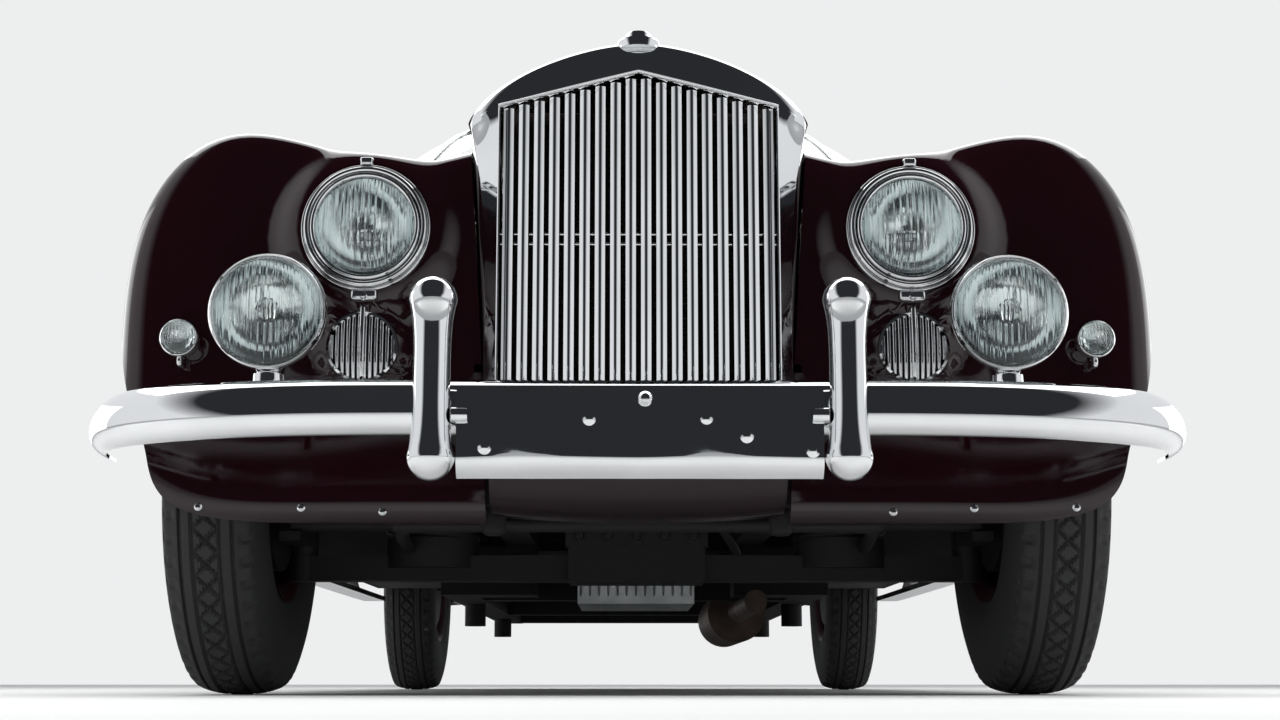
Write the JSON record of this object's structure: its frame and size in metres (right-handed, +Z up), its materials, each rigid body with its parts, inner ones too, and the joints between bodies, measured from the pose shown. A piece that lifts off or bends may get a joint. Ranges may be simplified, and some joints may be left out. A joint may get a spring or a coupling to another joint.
{
  "type": "grand touring car",
  "caption": "Two-door fastback car of the 1950s with an upright slatted radiator, separate wings, opening doors, bonnet leaves and boot lid, and wheels that steer and roll.",
  "frame": {"origin": "on the ground below the middle of the car's length and width", "axes": "+Z up, the car faces -Y, +X is the car's left side"},
  "size_m": [1.8146, 5.2448, 1.6032],
  "materials": {
    "body_paint": "gloss dark maroon",
    "bright_trim": "polished",
    "clear_glass": "clear",
    "chassis_black": "black, matt",
    "wheel_paint": "gloss, bright cap",
    "tyre_rubber": "matt",
    "bare_alloy": "as cast",
    "core_brass": "black",
    "exhaust_steel": "weathered",
    "seat_leather": "smooth hide",
    "dash_wood": "varnished",
    "rim_plastic": "black gloss"
  },
  "bodies": {
    "car": {"chassis": "chassis_black", "floor": "chassis_black", "engine": "bare_alloy", "radiator_core": "core_brass", "exhaust": "exhaust_steel", "front_suspension": "chassis_black", "rear_axle": "chassis_black", "leaf_springs": "chassis_black", "fuel_tank": "chassis_black", "jack_sockets": "chassis_black", "front_wing_left": "body_paint", "front_wing_right": "body_paint", "front_apron": "body_paint", "radiator_shell": "bright_trim", "grilles": "bright_trim", "lamp_shells": "bright_trim", "lamp_lenses": "clear_glass", "front_bumper": "bright_trim", "rear_bumper": "bright_trim", "overriders": "bright_trim", "plate_panel": "bright_trim", "sills": "body_paint", "scuttle": "body_paint", "roof": "body_paint", "rear_wing_left": "body_paint", "rear_wing_right": "body_paint", "fixed_glass": "clear_glass", "seats": "seat_leather", "dashboard": "dash_wood", "bonnet_hinge": "bright_trim"},
    "bonnet_left": {"bonnet_left": "body_paint"},
    "bonnet_right": {"bonnet_right": "body_paint"},
    "door_left": {"door_left": "body_paint", "door_glass_left": "clear_glass"},
    "door_right": {"door_right": "body_paint", "door_glass_right": "clear_glass"},
    "boot_lid": {"boot_lid": "body_paint"},
    "steering_wheel": {"steering_wheel": "rim_plastic"},
    "knuckle_left": {"knuckle_left": "chassis_black"},
    "knuckle_right": {"knuckle_right": "chassis_black"},
    "track_rod": {"track_rod": "chassis_black"},
    "wheel_front_left": {"wheel_front_left": "wheel_paint", "tyre_front_left": "tyre_rubber"},
    "wheel_front_right": {"wheel_front_right": "wheel_paint", "tyre_front_right": "tyre_rubber"},
    "wheel_rear_left": {"wheel_rear_left": "wheel_paint", "tyre_rear_left": "tyre_rubber"},
    "wheel_rear_right": {"wheel_rear_right": "wheel_paint", "tyre_rear_right": "tyre_rubber"}
  },
  "joints": [
    {"name": "steer_left", "type": "hinge", "parent": "car", "child": "knuckle_left", "pos_m": [0.5945, -1.7625, 0.3675], "axis": [0, 0, 1], "range_deg": [-30, 30]},
    {"name": "steer_right", "type": "hinge", "parent": "car", "child": "knuckle_right", "pos_m": [-0.5945, -1.7625, 0.3675], "axis": [0, 0, 1], "range_deg": [-30, 30]},
    {"name": "track_rod_slide", "type": "slide", "parent": "car", "child": "track_rod", "axis": [1, 0, 0], "range_m": [-0.0735, 0.0735]},
    {"name": "steering", "type": "hinge", "parent": "car", "child": "steering_wheel", "pos_m": [-0.33, -0.48234, 0.96], "axis": [0, 0.848, 0.5299], "range_deg": [-480, 480]},
    {"name": "spin_front_left", "type": "hinge", "parent": "knuckle_left", "child": "wheel_front_left", "pos_m": [0.6975, -1.7625, 0.3675], "axis": [1, 0, 0], "continuous": true},
    {"name": "spin_front_right", "type": "hinge", "parent": "knuckle_right", "child": "wheel_front_right", "pos_m": [-0.6975, -1.7625, 0.3675], "axis": [1, 0, 0], "continuous": true},
    {"name": "spin_rear_left", "type": "hinge", "parent": "car", "child": "wheel_rear_left", "pos_m": [0.715, 1.2855, 0.3675], "axis": [1, 0, 0], "continuous": true},
    {"name": "spin_rear_right", "type": "hinge", "parent": "car", "child": "wheel_rear_right", "pos_m": [-0.715, 1.2855, 0.3675], "axis": [1, 0, 0], "continuous": true},
    {"name": "door_left_hinge", "type": "hinge", "parent": "car", "child": "door_left", "pos_m": [0.909, -0.82367, 0.6], "axis": [0, 0, -1], "range_deg": [0, 65]},
    {"name": "door_right_hinge", "type": "hinge", "parent": "car", "child": "door_right", "pos_m": [-0.909, -0.82367, 0.6], "axis": [0, 0, 1], "range_deg": [0, 65]},
    {"name": "bonnet_left_hinge", "type": "hinge", "parent": "car", "child": "bonnet_left", "pos_m": [0.0105, -1.8743, 1.054], "axis": [0, -0.9985, -0.055], "range_deg": [0, 60]},
    {"name": "bonnet_right_hinge", "type": "hinge", "parent": "car", "child": "bonnet_right", "pos_m": [-0.0105, -1.8743, 1.054], "axis": [0, 0.9985, 0.055], "range_deg": [0, 60]},
    {"name": "boot_lid_hinge", "type": "hinge", "parent": "car", "child": "boot_lid", "pos_m": [0, 1.5509, 1.24], "axis": [1, 0, 0], "range_deg": [0, 60]}
  ],
  "couplings": [
    {"joint": "steer_right", "follows": "steer_left", "ratio": 1},
    {"joint": "track_rod_slide", "follows": "steer_left", "m_per_rad": 0.14},
    {"joint": "steering", "follows": "steer_left", "ratio": 16}
  ]
}
